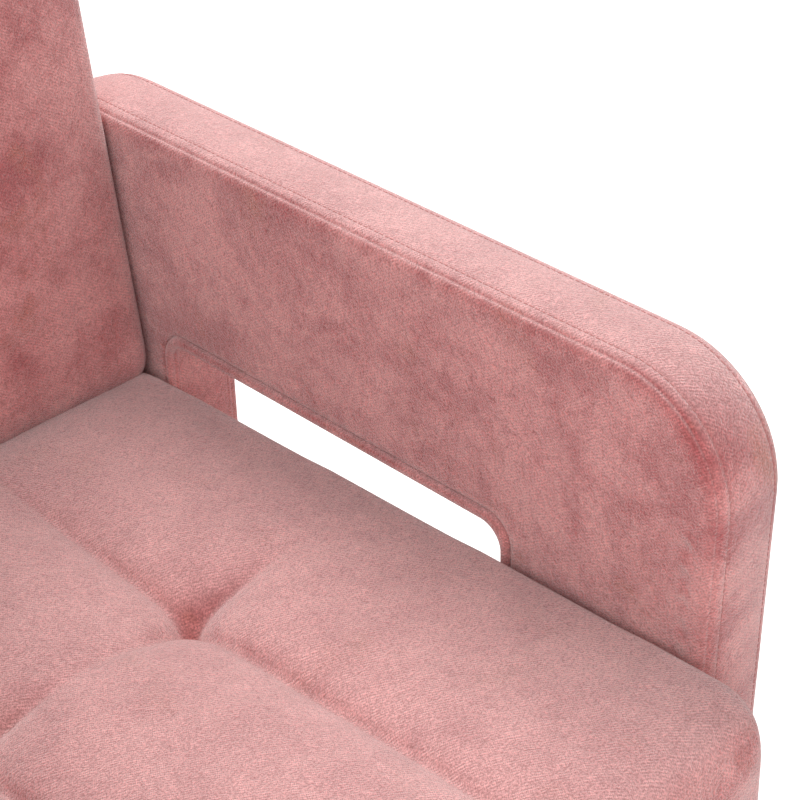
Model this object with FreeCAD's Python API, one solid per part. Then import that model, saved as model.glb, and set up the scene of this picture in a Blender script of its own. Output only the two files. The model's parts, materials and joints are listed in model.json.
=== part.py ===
"""Swivel glider nursery chair, millimetres, +Z up, the sitter faces -Y and has +X on the left.

The chair hangs on four equal links from a frame that turns on a floor ring. The origin lies on
the floor, in the middle of the whole chair.
"""
import FreeCAD, Part
import math
import os

V = FreeCAD.Vector

# ---- driving dimensions -------------------------------------------------------------------
# overall upholstery
SEAT_WIDTH = 520.0          # between the arms
ARM_THICKNESS = 62.0
ARM_LENGTH = 663.0
ARM_TOP = 645.0
ARM_BOTTOM = 150.0
ARM_FRONT_RADIUS = 70.0
ARM_REAR_RADIUS = 95.0
ARM_RAKE = 3.4              # degrees that the arm's front edge leans
ARM_REAR_REACH = 168.0      # arm's rear edge behind the slot's rear edge
OVERALL_HEIGHT = 1005.0
SEAT_OVERHANG = 64.0        # cushion in front of the arms

# slot in each arm, measured at its seam
SLOT_LENGTH = 337.0
SLOT_TOP = 490.0
SLOT_HEIGHT = 136.0
SLOT_RADIUS = 26.0
FACING = 10.0               # padded strip that lines the slot

# upholstery layers
SIDE_PAD = 14.0
BAND_PAD = 14.0
BORDER_PAD = 14.0
BORDER_SETBACK = 18.0       # front border behind the cushion's front
SOFT_GAP = 0.3              # between pieces that only rest against each other
SIDE_CLEARANCE = 1.5        # soft seat and back beside the arms

# seat
SEAT_PITCH = 2.07           # degrees, front edge high
SEAT_TOP_AT_SLOT_REAR = 447.0
SEAT_UNDER_BACK = 23.0      # how far the cushion runs on under the back cushion
CUSHION_RADIUS = 30.0
RAIL_TOP = 300.0
SIDE_RAIL_HEIGHT = 60.0
SIDE_RAIL_WIDTH = 58.0
RAIL_THICKNESS = 24.0
SPRING_COUNT = 5
SPRING_SPACING = 84.0
SPRING_WIRE = 3.5
SPRING_LOOP = 22.0          # distance between neighbouring turns
SPRING_SWING = 40.0         # width of a turn, between wire centres
CLIP_METAL = 1.2
CLIP_LENGTH = 14.0
CLIP_WIDTH = 10.0
DECK_THICKNESS = 6.0
DUST_COVER = 1.5
BLOCK_LEG = 70.0
BLOCK_HEIGHT = 46.0

# back
BACK_LEAN = 7.6             # degrees
BACK_BEHIND_SLOT = 17.0     # foot of the back's front face behind the slot's rear edge
BACK_CUSHION = 90.0
BACK_RADIUS = 26.0
STRAP_THICKNESS = 1.5
STRAP_WIDTH = 50.0
STRAP_COUNT = 6
POST_WIDTH = 40.0
POST_DEPTH = 30.0
BACK_RAIL_HEIGHT = 60.0
BACK_RAIL_THICKNESS = 22.0
OUTER_BACK = 12.0

# floor base
RING_RADIUS = 250.0         # to the middle of the tube
RING_TUBE = 25.0
GLIDE_HEIGHT = 4.0
GLIDE_RADIUS = 11.0
GLIDE_COUNT = 6
BAR_WIDTH = 30.0
BAR_HEIGHT = 16.0
HUB_RADIUS = 30.0
HUB_FLANGE_RADIUS = 45.0
HUB_FLANGE = 5.5
POST_RADIUS = 16.0
THRUST_RING = 6.0
THRUST_INSET = 3.0          # the ring stops short of the flange's edge
TURN_CLEARANCE = 0.05

# turning frame and links
SLEEVE_RADIUS = 24.0
SLEEVE_HEIGHT = 28.0
TURN_FLANGE_RADIUS = 62.0
TURN_FLANGE = 5.0
CROSS_WIDTH = 30.0
CROSS_HEIGHT = 22.0
PLATE = 4.0                 # stamped steel of uprights, links, hangers and rails
RAIL_INSET = 7.3            # glide rail under the seat rail, from that rail's inner face
UPRIGHT_WIDTH = 64.0
SIDE_BAR_HEIGHT = 34.0
PIVOT_SPACING = 260.0       # front to rear
LINK_LENGTH = 140.0
UPPER_PIVOT_Z = 213.0
LINK_WIDTH = 30.0
LINK_SWING = 20.0           # degrees each way
PIN_RADIUS = 6.0
PIN_HEAD = 10.0
BUSH_RADIUS = 10.0
BUSH_FLANGE = 13.0
CLIP_RADIUS = 9.0
CLIP_THICKNESS = 2.0
PIVOT_CLEARANCE = 0.1
OPEN_PIVOT_CLEARANCE = 0.3
LAYER_GAP = 3.0             # upright to link
HANGER_GAP = 4.0            # link to hanger
BUMPER_RADIUS = 6.0
BUMPER_LENGTH = 9.0
BUMPER_DROP = 10.0          # along the link below its pivot
RUN_GAP = 0.3
ARM_BOLT_SETBACK = 90.0     # front arm bolt behind the arm's front
OVER = 1.0                  # cutters run this far past what they cut
RAIL_LEG = 42.0
RAIL_DROP = 34.0
BOLT_RADIUS = 4.0
BOLT_HEAD = 8.0
BOLT_HEAD_HEIGHT = 4.0
BOLT_FIT = 0.05
RAIL_BOLT_REACH = 22.0

# ---- derived places -----------------------------------------------------------------------
lean = math.radians(BACK_LEAN)
back_depth = BACK_CUSHION + SOFT_GAP + STRAP_THICKNESS + POST_DEPTH + OUTER_BACK
back_foot_z = SEAT_TOP_AT_SLOT_REAR + SOFT_GAP
back_rounding = BACK_RADIUS * (1 - math.sin(lean) - math.cos(lean))
back_height = (OVERALL_HEIGHT - back_foot_z - back_rounding) / math.cos(lean)

# the slot's rear edge is placed so that the whole chair is centred on Y = 0
front_reach = ARM_LENGTH - ARM_REAR_REACH + SEAT_OVERHANG
rear_reach = BACK_BEHIND_SLOT + back_depth * math.cos(lean) + back_height * math.sin(lean)
slot_rear_y = (front_reach - rear_reach) / 2

arm_rear_y = slot_rear_y + ARM_REAR_REACH
arm_front_y = arm_rear_y - ARM_LENGTH
arm_in = SEAT_WIDTH / 2
arm_out = arm_in + ARM_THICKNESS
slot_front_y = slot_rear_y - SLOT_LENGTH
slot_bottom = SLOT_TOP - SLOT_HEIGHT

seat_front_y = arm_front_y - SEAT_OVERHANG
seat_rear_y = slot_rear_y + BACK_BEHIND_SLOT + SEAT_UNDER_BACK
soft_half = arm_in - SIDE_CLEARANCE
frame_half = arm_in - SOFT_GAP
back_front_y = slot_rear_y + BACK_BEHIND_SLOT
post_t = BACK_CUSHION + SOFT_GAP + STRAP_THICKNESS
post_rear_t = post_t + POST_DEPTH
post_out = soft_half - BAND_PAD

front_rail_y = seat_front_y + BORDER_SETBACK + BORDER_PAD
front_rail_half = soft_half - BORDER_PAD
side_rail_bottom = RAIL_TOP - SIDE_RAIL_HEIGHT
side_rail_in = frame_half - SIDE_RAIL_WIDTH
clip_bore = SPRING_WIRE / 2 + SOFT_GAP
spring_z = RAIL_TOP + CLIP_METAL + clip_bore
clip_top = spring_z + clip_bore + CLIP_METAL
deck_bottom = clip_top + SOFT_GAP
cushion_bottom = deck_bottom + DECK_THICKNESS + SOFT_GAP

base_y = (arm_front_y + arm_rear_y) / 2
ring_z = GLIDE_HEIGHT + RING_TUBE / 2
bar_top = ring_z + BAR_HEIGHT / 2
hub_top = bar_top + HUB_FLANGE
turn_z = hub_top + THRUST_RING
cross_z = turn_z + TURN_FLANGE
lower_pivot_z = UPPER_PIVOT_Z - LINK_LENGTH
pivot_y = {"front": base_y - PIVOT_SPACING / 2, "rear": base_y + PIVOT_SPACING / 2}
rail_x = side_rail_in + RAIL_INSET
hanger_x = rail_x - PLATE
link_x = hanger_x - HANGER_GAP - PLATE
upright_x = link_x - LAYER_GAP - PLATE
sides = {"left": 1, "right": -1}


def back_line_y(t, z):
    """Y of the leaning plane that lies t behind the back's front face, at height z."""
    return back_front_y + t / math.cos(lean) + (z - back_foot_z) * math.tan(lean)


rear_rail_rear_y = back_line_y(post_rear_t, RAIL_TOP)
rear_rail_y = rear_rail_rear_y - RAIL_THICKNESS


# ---- shapes -------------------------------------------------------------------------------
def box(x0, x1, y0, y1, z0, z1):
    return Part.makeBox(x1 - x0, y1 - y0, z1 - z0, V(x0, y0, z0))


def rod_x(radius, x0, x1, y, z):
    return Part.makeCylinder(radius, x1 - x0, V(x0, y, z), V(1, 0, 0))


def rod_z(radius, x, y, z0, z1):
    return Part.makeCylinder(radius, z1 - z0, V(x, y, z0), V(0, 0, 1))


def tube_x(outer, inner, x0, x1, y, z):
    return rod_x(outer, x0, x1, y, z).cut(rod_x(inner, x0 - OVER, x1 + OVER, y, z))


def tube_z(outer, inner, x, y, z0, z1):
    return rod_z(outer, x, y, z0, z1).cut(rod_z(inner, x, y, z0 - OVER, z1 + OVER))


def join(shapes):
    """One solid from touching or overlapping solids."""
    result = shapes[0]
    for shape in shapes[1:]:
        result = result.fuse(shape)
    return result.removeSplitter()


def drill(shape, holes):
    for hole in holes:
        shape = shape.cut(hole)
    return shape


def mirror(shape):
    return shape.mirror(V(0, 0, 0), V(1, 0, 0))


def on_side(shape, side):
    """A piece modelled on the left (+X), moved to the side that is asked for."""
    return shape if side > 0 else mirror(shape)


def prism(corners, x0, x1):
    """A plate between two X planes whose outline has (y, z, corner radius) corners."""
    edges = []
    count = len(corners)
    starts = []
    ends = []
    for i, (y, z, radius) in enumerate(corners):
        here = V(0, y, z)
        back = V(0, *corners[i - 1][:2]) - here
        ahead = V(0, *corners[(i + 1) % count][:2]) - here
        back.normalize()
        ahead.normalize()
        half = back.getAngle(ahead) / 2
        if radius <= 0:
            starts.append(here)
            ends.append(here)
            continue
        reach = radius / math.tan(half)
        middle = back + ahead
        middle.normalize()
        arc_start = here + back * reach
        arc_end = here + ahead * reach
        arc_middle = here + middle * (radius / math.sin(half) - radius)
        starts.append(arc_start)
        ends.append(arc_end)
        edges.append(Part.Arc(arc_start, arc_middle, arc_end).toShape())
    for i in range(count):
        run_start = ends[i]
        run_end = starts[(i + 1) % count]
        if run_start.distanceToPoint(run_end) > 1e-6:
            edges.append(Part.makeLine(run_start, run_end))
    wire = Part.Wire(Part.__sortEdges__(edges))
    face = Part.Face(wire)
    plate = face.extrude(V(x1 - x0, 0, 0))
    plate.translate(V(x0, 0, 0))
    return plate


def slab_back(x0, x1, t0, t1, h0, h1):
    """A block of the leaning back: t is the depth behind its front face, h the height along it."""
    block = box(x0, x1, back_front_y + t0, back_front_y + t1, back_foot_z + h0, back_foot_z + h1)
    block.rotate(V(0, back_front_y, back_foot_z), V(1, 0, 0), -BACK_LEAN)
    return block


def above(shape, z):
    """The part of a shape over a horizontal plane."""
    reach = 2 * OVERALL_HEIGHT
    return shape.common(box(-reach, reach, -reach, reach, z, reach))


# ---- arms ---------------------------------------------------------------------------------
def arm_front_at(z, inset):
    """Y of the raked front edge at height z, moved in by the inset."""
    rake = math.radians(ARM_RAKE)
    return arm_front_y + (ARM_TOP - z) * math.tan(rake) + inset / math.cos(rake)


def arm_plate(inset, x0, x1):
    top = ARM_TOP - inset
    return prism(
        [
            (arm_front_at(ARM_BOTTOM, inset), ARM_BOTTOM, 0),
            (arm_rear_y - inset, ARM_BOTTOM, 0),
            (arm_rear_y - inset, top, ARM_REAR_RADIUS - inset),
            (arm_front_at(top, inset), top, ARM_FRONT_RADIUS - inset),
        ],
        x0,
        x1,
    )


def slot_plate(inset, x0, x1):
    radius = SLOT_RADIUS - inset
    low = slot_bottom + inset
    high = SLOT_TOP - inset
    front = slot_front_y + inset
    rear = slot_rear_y - inset
    return prism(
        [(front, low, radius), (rear, low, radius), (rear, high, radius), (front, high, radius)], x0, x1
    )


frame_in = arm_in + SIDE_PAD
frame_out = arm_out - SIDE_PAD
arm_bolt_z = (side_rail_bottom + RAIL_TOP) / 2
arm_bolt_y = [arm_front_y + ARM_BOLT_SETBACK, base_y, rear_rail_y - BLOCK_LEG - 2 * BOLT_HEAD]
arm_bolt_end = frame_out - SIDE_PAD / 2


def arm_bolt_holes():
    return [
        rod_x(BOLT_RADIUS + BOLT_FIT, side_rail_in - OVER, arm_bolt_end + BOLT_FIT, y, arm_bolt_z)
        for y in arm_bolt_y
    ]


def arm_frame_pieces():
    """The wooden arm frame around the slot: top rail, two posts and a lower panel."""
    whole = arm_plate(BAND_PAD + SOFT_GAP, frame_in + SOFT_GAP, frame_out - SOFT_GAP)
    reach_y = (arm_front_y - OVER, arm_rear_y + OVER)
    rail_bottom = SLOT_TOP + SOFT_GAP
    panel_top = slot_bottom - SOFT_GAP
    x_range = (frame_in - OVER, frame_out + OVER)
    top_rail = whole.common(box(*x_range, *reach_y, rail_bottom, ARM_TOP))
    lower = whole.common(box(*x_range, *reach_y, ARM_BOTTOM, panel_top))
    front_post = whole.common(box(*x_range, reach_y[0], slot_front_y - SOFT_GAP, panel_top, rail_bottom))
    rear_post = whole.common(box(*x_range, slot_rear_y + SOFT_GAP, reach_y[1], panel_top, rail_bottom))
    return {
        "arm_top_rail": top_rail,
        "arm_lower_panel": drill(lower, arm_bolt_holes()),
        "arm_front_post": front_post,
        "arm_rear_post": rear_post,
    }


def arm_soft_pieces():
    """Side pads, the band over front, top and rear, and the strip that lines the slot."""
    hole = slot_plate(-SOFT_GAP, arm_in - OVER, arm_out + OVER)
    inner = arm_plate(0, arm_in, frame_in).cut(hole)
    outer = arm_plate(0, frame_out, arm_out).cut(hole)
    band_cut = arm_plate(BAND_PAD, frame_in - OVER, frame_out + OVER)
    band = arm_plate(0, frame_in, frame_out).cut(band_cut)
    facing = slot_plate(0, arm_in, arm_out).cut(slot_plate(FACING, arm_in - OVER, arm_out + OVER))
    return {
        "arm_inner_pad": drill(inner, arm_bolt_holes()),
        "arm_outer_pad": outer,
        "arm_band": band,
        "slot_facing": facing,
    }


def arm_bolts():
    bolts = []
    for y in arm_bolt_y:
        shank = rod_x(BOLT_RADIUS, side_rail_in, arm_bolt_end, y, arm_bolt_z)
        head = rod_x(BOLT_HEAD, side_rail_in - BOLT_HEAD_HEIGHT, side_rail_in, y, arm_bolt_z)
        bolt = join([shank, head])
        bolts += [bolt, mirror(bolt)]
    return {"arm_bolts": Part.Compound(bolts)}


# ---- seat ---------------------------------------------------------------------------------
rail_bolt_x = rail_x + RAIL_LEG / 2 + PLATE / 2
rail_bolt_y = [base_y - PIVOT_SPACING / 3, base_y, base_y + PIVOT_SPACING / 3]


def rail_bolt_holes():
    return [
        rod_z(
            BOLT_RADIUS + BOLT_FIT,
            rail_bolt_x,
            y,
            side_rail_bottom - PLATE - OVER,
            side_rail_bottom + RAIL_BOLT_REACH,
        )
        for y in rail_bolt_y
    ]


def seat_frame():
    front = box(
        -front_rail_half, front_rail_half, front_rail_y, front_rail_y + RAIL_THICKNESS, ARM_BOTTOM, RAIL_TOP
    )
    rear = box(-frame_half, frame_half, rear_rail_y, rear_rail_rear_y, ARM_BOTTOM, RAIL_TOP)
    side = box(side_rail_in, frame_half, arm_front_y, rear_rail_y, side_rail_bottom, RAIL_TOP)
    nose = box(
        side_rail_in,
        front_rail_half,
        front_rail_y + RAIL_THICKNESS,
        arm_front_y + OVER,
        side_rail_bottom,
        RAIL_TOP,
    )
    side = drill(join([side, nose]), arm_bolt_holes() + rail_bolt_holes())
    return {
        "seat_rail_front": front,
        "seat_rail_rear": rear,
        "seat_rail_left": side,
        "seat_rail_right": mirror(side),
        "corner_blocks": corner_blocks(),
    }


def corner_blocks():
    """Glued blocks in the four inner corners of the seat frame."""
    middle = (side_rail_bottom + RAIL_TOP) / 2
    low = middle - BLOCK_HEIGHT / 2
    blocks = []
    for y, way in ((front_rail_y + RAIL_THICKNESS, 1), (rear_rail_y, -1)):
        corner = V(side_rail_in, y, low)
        points = [corner, corner + V(-BLOCK_LEG, 0, 0), corner + V(0, way * BLOCK_LEG, 0), corner]
        block = Part.Face(Part.makePolygon(points)).extrude(V(0, 0, BLOCK_HEIGHT))
        blocks += [block, mirror(block)]
    return Part.Compound(blocks)


def spring_path(x, y0, y1, z):
    """Flat zigzag wire of half circles and straight runs, from rail to rail."""
    turns = int((y1 - y0) // SPRING_LOOP)
    radius = SPRING_LOOP / 2
    half = SPRING_SWING / 2 - radius
    start = y0 + (y1 - y0 - turns * SPRING_LOOP) / 2
    edges = []
    for i in range(turns):
        y = start + i * SPRING_LOOP
        way = 1 if i % 2 == 0 else -1
        turn_start = V(x + way * half, y, z)
        turn_end = V(x + way * half, y + SPRING_LOOP, z)
        turn_middle = V(x + way * (half + radius), y + radius, z)
        edges.append(Part.Arc(turn_start, turn_middle, turn_end).toShape())
        if i < turns - 1:
            edges.append(Part.makeLine(turn_end, V(x - way * half, y + SPRING_LOOP, z)))
    return Part.Wire(edges)


def spring_places():
    middle = (SPRING_COUNT - 1) / 2
    return [(i - middle) * SPRING_SPACING for i in range(SPRING_COUNT)]


def seat_springs():
    """Sinuous springs laid across the seat frame, held by a clip on each rail."""
    y0 = front_rail_y + RAIL_THICKNESS / 3
    y1 = rear_rail_rear_y - RAIL_THICKNESS / 3
    springs = []
    clips = []
    for x in spring_places():
        path = spring_path(x, y0, y1, spring_z)
        start = path.OrderedVertexes[0].Point
        end = path.OrderedVertexes[-1].Point
        profile = Part.Wire(Part.makeCircle(SPRING_WIRE / 2, start, V(1, 0, 0)))
        springs.append(path.makePipeShell([profile], True, True))
        for point in (start, end):
            way = 1 if point.x > x else -1
            tail = rod_x(clip_bore, min(point.x, x) - OVER, max(point.x, x) + OVER, point.y, spring_z)
            clip = box(
                -CLIP_LENGTH / 2, CLIP_LENGTH / 2, -CLIP_WIDTH / 2, CLIP_WIDTH / 2, RAIL_TOP, clip_top
            )
            clip.translate(V(point.x - way * CLIP_LENGTH / 2, point.y, 0))
            clips.append(clip.cut(tail).cut(springs[-1]))
    return springs, clips


def seat_soft():
    pitch = math.tan(math.radians(SEAT_PITCH))

    def top_at(y):
        return SEAT_TOP_AT_SLOT_REAR + (slot_rear_y - y) * pitch

    cushion = prism(
        [
            (seat_front_y, cushion_bottom, 0),
            (seat_rear_y, cushion_bottom, 0),
            (seat_rear_y, top_at(seat_rear_y), 0),
            (seat_front_y, top_at(seat_front_y), 0),
        ],
        -soft_half,
        soft_half,
    )
    cushion = cushion.makeFillet(CUSHION_RADIUS, cushion.Edges)
    deck_front = front_rail_y
    deck_rear = back_line_y(BACK_CUSHION, deck_bottom) - SOFT_GAP
    deck = box(-soft_half, soft_half, deck_front, deck_rear, deck_bottom, deck_bottom + DECK_THICKNESS)
    border_front = seat_front_y + BORDER_SETBACK
    border = box(-soft_half, soft_half, border_front, arm_front_y, ARM_BOTTOM, deck_bottom)
    border_hole = box(
        -front_rail_half - SOFT_GAP,
        front_rail_half + SOFT_GAP,
        front_rail_y - SOFT_GAP,
        arm_front_y + OVER,
        ARM_BOTTOM - OVER,
        deck_bottom + OVER,
    )
    cover_half = hanger_x - SOFT_GAP
    cover_rear = rear_rail_y - SOFT_GAP
    cover_front = front_rail_y + RAIL_THICKNESS + SOFT_GAP
    cover = box(
        -cover_half, cover_half, cover_front, cover_rear, side_rail_bottom - DUST_COVER, side_rail_bottom
    )
    return {
        "seat_cushion": cushion,
        "seat_deck": deck,
        "front_border": border.cut(border_hole),
        "dust_cover": cover,
    }


# ---- back ---------------------------------------------------------------------------------
def back_pieces():
    cushion = slab_back(-soft_half, soft_half, 0, BACK_CUSHION, 0, back_height)
    cushion = cushion.makeFillet(BACK_RADIUS, cushion.Edges)
    below = RAIL_TOP - back_foot_z - BACK_RAIL_HEIGHT
    frame_top = back_height - BAND_PAD
    post = above(slab_back(post_out - POST_WIDTH, post_out, post_t, post_rear_t, below, frame_top), RAIL_TOP)
    rail_in = post_out - POST_WIDTH
    rail_t = post_t + (POST_DEPTH - BACK_RAIL_THICKNESS) / 2
    rails = []
    for h in (0.0, (frame_top - BACK_RAIL_HEIGHT) / 2, frame_top - BACK_RAIL_HEIGHT):
        rails.append(
            slab_back(-rail_in, rail_in, rail_t, rail_t + BACK_RAIL_THICKNESS, h, h + BACK_RAIL_HEIGHT)
        )
    straps = []
    strap_step = (frame_top - STRAP_WIDTH - BACK_RADIUS) / (STRAP_COUNT - 1)
    for i in range(STRAP_COUNT):
        low = BACK_RADIUS / 2 + i * strap_step
        straps.append(
            slab_back(-post_out, post_out, post_t - STRAP_THICKNESS, post_t, low, low + STRAP_WIDTH)
        )
    band = slab_back(-soft_half, soft_half, BACK_CUSHION + SOFT_GAP, post_rear_t, below, back_height)
    band_hole = slab_back(
        -post_out - SOFT_GAP,
        post_out + SOFT_GAP,
        BACK_CUSHION - OVER,
        post_rear_t + OVER,
        below - OVER,
        frame_top + SOFT_GAP,
    )
    band = above(band.cut(band_hole), RAIL_TOP)
    return {
        "back_cushion": cushion,
        "back_posts": Part.Compound([post, mirror(post)]),
        "back_rails": Part.Compound(rails),
        "back_webbing": Part.Compound(straps),
        "back_band": band,
        "outer_back": outer_back(),
    }


def outer_back():
    """Rear cover: it follows the leaning posts and hangs straight down below the seat frame."""
    upper = slab_back(
        -soft_half, soft_half, post_rear_t, post_rear_t + OUTER_BACK, -back_foot_z, back_height
    )
    upper = above(upper, RAIL_TOP)
    low_front = rear_rail_rear_y
    low_rear = back_line_y(post_rear_t + OUTER_BACK, RAIL_TOP)
    lower = box(-soft_half, soft_half, low_front, low_rear, ARM_BOTTOM, RAIL_TOP)
    return join([upper, lower])


# ---- floor base ---------------------------------------------------------------------------
def floor_base():
    ring = Part.makeTorus(RING_RADIUS, RING_TUBE / 2, V(0, base_y, ring_z), V(0, 0, 1))
    hub_core = rod_z(HUB_RADIUS, 0, base_y, ring_z - BAR_HEIGHT / 2, bar_top)
    bars = []
    for turn in range(4):
        bar = box(0, RING_RADIUS, -BAR_WIDTH / 2, BAR_WIDTH / 2, ring_z - BAR_HEIGHT / 2, bar_top)
        bar.rotate(V(0, 0, 0), V(0, 0, 1), 45 + 90 * turn)
        bar.translate(V(0, base_y, 0))
        bars.append(bar.cut(hub_core).cut(ring))
    retainer_z = turn_z + SLEEVE_HEIGHT + RUN_GAP
    post_top = retainer_z + PLATE
    hub = join(
        [
            hub_core,
            rod_z(HUB_FLANGE_RADIUS, 0, base_y, bar_top, hub_top),
            rod_z(POST_RADIUS, 0, base_y, hub_top, post_top),
        ]
    )
    retainer = tube_z(SLEEVE_RADIUS, POST_RADIUS, 0, base_y, retainer_z, post_top)
    cap = rod_z(SLEEVE_RADIUS, 0, base_y, post_top, post_top + BOLT_HEAD_HEIGHT)
    thrust = tube_z(
        HUB_FLANGE_RADIUS - THRUST_INSET,
        POST_RADIUS + TURN_CLEARANCE,
        0,
        base_y,
        hub_top,
        turn_z - TURN_CLEARANCE,
    )
    glides = []
    for i in range(GLIDE_COUNT):
        angle = 2 * math.pi * (i + 0.5) / GLIDE_COUNT
        x = RING_RADIUS * math.cos(angle)
        y = base_y + RING_RADIUS * math.sin(angle)
        glides.append(rod_z(GLIDE_RADIUS, x, y, 0, ring_z).cut(ring))
    return {
        "base_ring": ring,
        "base_cross_bars": Part.Compound(bars),
        "base_hub": hub,
        "hub_retainer": join([retainer, cap]),
        "thrust_ring": thrust,
        "floor_glides": Part.Compound([glide.Solids[0] for glide in glides]),
    }


# ---- turning frame ------------------------------------------------------------------------
def turning_frame():
    flange = rod_z(TURN_FLANGE_RADIUS, 0, base_y, turn_z, cross_z)
    sleeve = rod_z(SLEEVE_RADIUS, 0, base_y, cross_z, turn_z + SLEEVE_HEIGHT)
    bore = rod_z(POST_RADIUS + TURN_CLEARANCE, 0, base_y, turn_z - OVER, turn_z + SLEEVE_HEIGHT + OVER)
    turn_hub = join([flange, sleeve]).cut(bore)
    bar_x = upright_x - PLATE
    cross = []
    for way in (-1, 1):
        near = base_y + way * (SLEEVE_RADIUS + SOFT_GAP)
        far = near + way * CROSS_WIDTH
        cross.append(box(-bar_x, bar_x, min(near, far), max(near, far), cross_z, cross_z + CROSS_HEIGHT))
    side_half = PIVOT_SPACING / 2 + UPRIGHT_WIDTH / 2
    bar_top_z = cross_z + SIDE_BAR_HEIGHT
    side_bar = box(bar_x, upright_x, base_y - side_half, base_y + side_half, cross_z, bar_top_z)
    uprights = []
    bumpers = []
    for y in pivot_y.values():
        half = UPRIGHT_WIDTH / 2
        top = UPPER_PIVOT_Z + PIN_HEAD + PLATE
        corner = UPRIGHT_WIDTH / 4
        plate = prism(
            [(y - half, cross_z, 0), (y + half, cross_z, 0), (y + half, top, corner), (y - half, top, corner)],
            upright_x,
            upright_x + PLATE,
        )
        plate = plate.cut(
            rod_x(PIN_RADIUS + BOLT_FIT, upright_x - OVER, upright_x + PLATE + OVER, y, UPPER_PIVOT_Z)
        )
        uprights += [plate, mirror(plate)]
        bumpers += bumper_pair(y)
    return {
        "turning_hub": turn_hub,
        "turning_crossmembers": Part.Compound(cross),
        "turning_side_bar_left": side_bar,
        "turning_side_bar_right": mirror(side_bar),
        "link_uprights": Part.Compound(uprights),
        "stop_bumpers": Part.Compound(bumpers),
    }


def bumper_pair(y):
    """Rubber stops that a link meets at each end of its swing."""
    swing = math.radians(LINK_SWING)
    stand_off = LINK_WIDTH / 2 + BUMPER_RADIUS + RUN_GAP
    out = BUMPER_DROP * math.sin(swing) + stand_off * math.cos(swing)
    down = BUMPER_DROP * math.cos(swing) - stand_off * math.sin(swing)
    bumpers = []
    for way in (-1, 1):
        x0 = upright_x + PLATE
        bumper = rod_x(BUMPER_RADIUS, x0, x0 + BUMPER_LENGTH, y + way * out, UPPER_PIVOT_Z - down)
        bumpers += [bumper, mirror(bumper)]
    return bumpers


def upper_pivots():
    """Pins, bushes and clips at the tops of the links; they turn with the frame."""
    pins = []
    bushes = []
    clips = []
    flange_x = upright_x + PLATE
    clip_x = link_x + PLATE + RUN_GAP
    for y in pivot_y.values():
        head = rod_x(PIN_HEAD, upright_x - PLATE / 2, upright_x, y, UPPER_PIVOT_Z)
        shank = rod_x(PIN_RADIUS, upright_x, clip_x + CLIP_THICKNESS, y, UPPER_PIVOT_Z)
        inner = PIN_RADIUS + BOLT_FIT
        flange = tube_x(BUSH_FLANGE, inner, flange_x, link_x - RUN_GAP, y, UPPER_PIVOT_Z)
        sleeve = tube_x(BUSH_RADIUS, inner, flange_x, clip_x, y, UPPER_PIVOT_Z)
        clip = tube_x(CLIP_RADIUS + PLATE, inner, clip_x, clip_x + CLIP_THICKNESS, y, UPPER_PIVOT_Z)
        for group, piece in ((pins, join([head, shank])), (bushes, join([flange, sleeve])), (clips, clip)):
            group += [piece, mirror(piece)]
    return {
        "upper_pivot_pins": Part.Compound(pins),
        "upper_bushes": Part.Compound(bushes),
        "upper_clips": Part.Compound(clips),
    }


# ---- links --------------------------------------------------------------------------------
def link(y, lower_clearance):
    half = LINK_WIDTH / 2
    low = lower_pivot_z - half
    high = UPPER_PIVOT_Z + half
    corner = half - SOFT_GAP
    plate = prism(
        [(y - half, low, corner), (y + half, low, corner), (y + half, high, corner), (y - half, high, corner)],
        link_x,
        link_x + PLATE,
    )
    upper = rod_x(BUSH_RADIUS + PIVOT_CLEARANCE, link_x - OVER, link_x + PLATE + OVER, y, UPPER_PIVOT_Z)
    lower = rod_x(BUSH_RADIUS + lower_clearance, link_x - OVER, link_x + PLATE + OVER, y, lower_pivot_z)
    return plate.cut(upper).cut(lower)


def links():
    pieces = {}
    for end, y in pivot_y.items():
        for name, side in sides.items():
            hinged = end == "front" and name == "left"
            clearance = PIVOT_CLEARANCE if hinged else OPEN_PIVOT_CLEARANCE
            pieces[f"link_{end}_{name}"] = on_side(link(y, clearance), side)
    return pieces


# ---- chair side of the glide --------------------------------------------------------------
def hangers_and_rails():
    hangers = []
    for y in pivot_y.values():
        half = LINK_WIDTH / 2
        low = lower_pivot_z - half
        hanger = prism(
            [
                (y - half, low, half - OVER),
                (y + half, low, half - OVER),
                (y + half, side_rail_bottom, 0),
                (y - half, side_rail_bottom, 0),
            ],
            hanger_x,
            hanger_x + PLATE,
        )
        hanger = hanger.cut(
            rod_x(PIN_RADIUS + BOLT_FIT, hanger_x - OVER, hanger_x + PLATE + OVER, y, lower_pivot_z)
        )
        hangers += [hanger, mirror(hanger)]
    half_length = PIVOT_SPACING / 2 + LINK_WIDTH / 2
    y0 = base_y - half_length
    y1 = base_y + half_length
    drop = box(rail_x, rail_x + PLATE, y0, y1, side_rail_bottom - RAIL_DROP, side_rail_bottom)
    ledge = box(rail_x, rail_x + RAIL_LEG, y0, y1, side_rail_bottom - PLATE, side_rail_bottom)
    rail = drill(join([drop, ledge]), rail_bolt_holes())
    return {
        "rail_hangers": Part.Compound(hangers),
        "glide_rail_left": rail,
        "glide_rail_right": mirror(rail),
    }


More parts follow.
